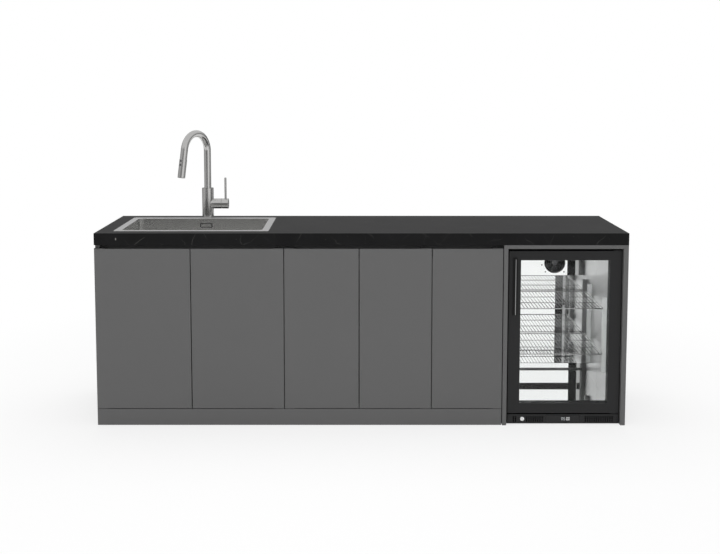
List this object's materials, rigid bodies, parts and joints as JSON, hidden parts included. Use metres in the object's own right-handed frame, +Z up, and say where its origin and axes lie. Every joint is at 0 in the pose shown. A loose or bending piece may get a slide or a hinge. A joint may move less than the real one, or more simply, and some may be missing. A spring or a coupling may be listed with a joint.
{
  "type": "outdoor kitchen island",
  "caption": "Long outdoor kitchen cabinet with a black stone worktop, inset sink, pull-down mixer tap, handleless grey doors and a glass-door bar fridge in a framed bay.",
  "frame": {"origin": "middle of the footprint, on the ground", "axes": "+X to the right seen from the front, front faces -Y, +Z up"},
  "size_m": [2.5, 0.62, 1.3758],
  "materials": {
    "black_stone": "satin",
    "grey_lacquer": "satin",
    "grey_board": "satin",
    "black_channel": "matte",
    "pivot_steel": "satin",
    "magnet_black": "matte",
    "foot_plastic": "matte",
    "sink_steel": "satin",
    "tap_steel": "satin",
    "tap_brass": "satin",
    "cartridge_plastic": "satin",
    "button_grey": "matte",
    "hose_grey": "satin",
    "fridge_black": "satin",
    "door_black": "satin",
    "liner_steel": "polished",
    "shelf_chrome": "gloss",
    "fan_black": "satin",
    "pane_glass": "gloss",
    "gasket_rubber": "matte",
    "panel_plastic": "satin",
    "key_plastic": "matte",
    "lock_chrome": "gloss",
    "compressor_black": "satin"
  },
  "bodies": {
    "kitchen": {"benchtop_slab": "black_stone", "benchtop_apron": "black_stone", "left_end_panel": "grey_board", "cupboard_partitions": "grey_board", "fridge_side_panel": "grey_board", "right_end_panel": "grey_board", "fridge_bay_top": "grey_board", "cupboard_floors": "grey_board", "front_rails": "grey_board", "cupboard_backs": "grey_board", "cupboard_shelves": "grey_board", "finger_channel": "black_channel", "plinth": "grey_lacquer", "shelf_supports": "pivot_steel", "levelling_feet": "foot_plastic", "pivot_brackets": "pivot_steel", "magnet_catches": "magnet_black", "sink_bowl": "sink_steel", "sink_clips": "pivot_steel", "sink_waste": "sink_steel", "overflow_plate": "sink_steel", "tap_body": "tap_steel", "tap_shank": "tap_brass", "tap_cartridge": "cartridge_plastic", "fridge_shell": "fridge_black", "fridge_liner": "liner_steel", "fridge_feet": "gasket_rubber", "evaporator_cover": "liner_steel", "fan_frame": "fan_black", "shelf_uprights": "liner_steel", "fridge_shelf_lower": "shelf_chrome", "fridge_shelf_upper": "shelf_chrome", "fridge_hinges": "pivot_steel", "vent_panel": "panel_plastic", "control_panel": "panel_plastic", "compressor": "compressor_black"},
    "door_1": {"door_1": "grey_lacquer"},
    "door_2": {"door_2": "grey_lacquer"},
    "door_3": {"door_3": "grey_lacquer"},
    "door_4": {"door_4": "grey_lacquer"},
    "door_5": {"door_5": "grey_lacquer"},
    "fridge_door": {"fridge_door_frame": "door_black", "fridge_door_glass": "pane_glass", "fridge_door_gasket": "gasket_rubber", "fridge_handle": "door_black"},
    "fan": {"fan_rotor": "fan_black"},
    "lock": {"lock_barrel": "lock_chrome"},
    "key_1": {"control_key_1": "key_plastic"},
    "key_2": {"control_key_2": "key_plastic"},
    "key_3": {"control_key_3": "key_plastic"},
    "key_4": {"control_key_4": "key_plastic"},
    "spout": {"tap_spout": "tap_steel"},
    "spray": {"spray_head": "tap_steel", "spray_hose": "hose_grey"},
    "spray_button_1": {"spray_button_1": "button_grey"},
    "spray_button_2": {"spray_button_2": "button_grey"},
    "stem": {"lever_stem": "tap_brass"},
    "lever": {"lever_cap": "tap_steel", "lever_pin": "tap_steel"},
    "strainer": {"strainer_basket": "sink_steel"}
  },
  "joints": [
    {"name": "door_1_hinge", "type": "hinge", "parent": "kitchen", "child": "door_1", "pos_m": [-1.244, -0.3035, 0.4], "axis": [0, 0, -1], "range_deg": [0, 100]},
    {"name": "door_2_hinge", "type": "hinge", "parent": "kitchen", "child": "door_2", "pos_m": [-0.3715, -0.3035, 0.4], "axis": [0, 0, 1], "range_deg": [0, 90]},
    {"name": "door_3_hinge", "type": "hinge", "parent": "kitchen", "child": "door_3", "pos_m": [-0.3555, -0.3035, 0.4], "axis": [0, 0, -1], "range_deg": [0, 90]},
    {"name": "door_4_hinge", "type": "hinge", "parent": "kitchen", "child": "door_4", "pos_m": [0.323, -0.3035, 0.4], "axis": [0, 0, 1], "range_deg": [0, 100]},
    {"name": "door_5_hinge", "type": "hinge", "parent": "kitchen", "child": "door_5", "pos_m": [0.657, -0.3035, 0.4], "axis": [0, 0, 1], "range_deg": [0, 100]},
    {"name": "fridge_door_hinge", "type": "hinge", "parent": "kitchen", "child": "fridge_door", "pos_m": [1.216, -0.283, 0.444], "axis": [0, 0, 1], "range_deg": [0, 95]},
    {"name": "fan_spin", "type": "hinge", "parent": "kitchen", "child": "fan", "pos_m": [0.9735, 0.076, 0.7164], "axis": [0, 1, 0], "continuous": true},
    {"name": "lock_turn", "type": "hinge", "parent": "kitchen", "child": "lock", "pos_m": [0.765, -0.288, 0.026], "axis": [0, 1, 0], "range_deg": [0, 90]},
    {"name": "key_1_press", "type": "slide", "parent": "kitchen", "child": "key_1", "axis": [0, 1, 0], "range_m": [0, 0.0008], "stiffness_N_per_m": 400},
    {"name": "key_2_press", "type": "slide", "parent": "kitchen", "child": "key_2", "axis": [0, 1, 0], "range_m": [0, 0.0008], "stiffness_N_per_m": 400},
    {"name": "key_3_press", "type": "slide", "parent": "kitchen", "child": "key_3", "axis": [0, 1, 0], "range_m": [0, 0.0008], "stiffness_N_per_m": 400},
    {"name": "key_4_press", "type": "slide", "parent": "kitchen", "child": "key_4", "axis": [0, 1, 0], "range_m": [0, 0.0008], "stiffness_N_per_m": 400},
    {"name": "spout_swivel", "type": "hinge", "parent": "kitchen", "child": "spout", "pos_m": [-0.79675, 0.267, 1.04], "axis": [0, 0, 1], "range_deg": [-60, 60]},
    {"name": "spray_pull", "type": "slide", "parent": "spout", "child": "spray", "axis": [-0.0954, -0.1652, -0.9816], "range_m": [0, 0.18]},
    {"name": "spray_button_1_press", "type": "slide", "parent": "spray", "child": "spray_button_1", "axis": [0.4908, 0.8501, -0.1908], "range_m": [0, 0.0012], "stiffness_N_per_m": 400},
    {"name": "spray_button_2_press", "type": "slide", "parent": "spray", "child": "spray_button_2", "axis": [0.4908, 0.8501, -0.1908], "range_m": [0, 0.0012], "stiffness_N_per_m": 400},
    {"name": "lever_turn", "type": "hinge", "parent": "kitchen", "child": "stem", "pos_m": [-0.73675, 0.267, 0.99], "axis": [1, 0, 0], "range_deg": [-40, 40]},
    {"name": "lever_tilt", "type": "hinge", "parent": "stem", "child": "lever", "pos_m": [-0.72535, 0.267, 0.9735], "axis": [0, 1, 0], "range_deg": [0, 20]},
    {"name": "strainer_lift", "type": "slide", "parent": "kitchen", "child": "strainer", "axis": [0, 0, 1], "range_m": [0, 0.15]}
  ]
}
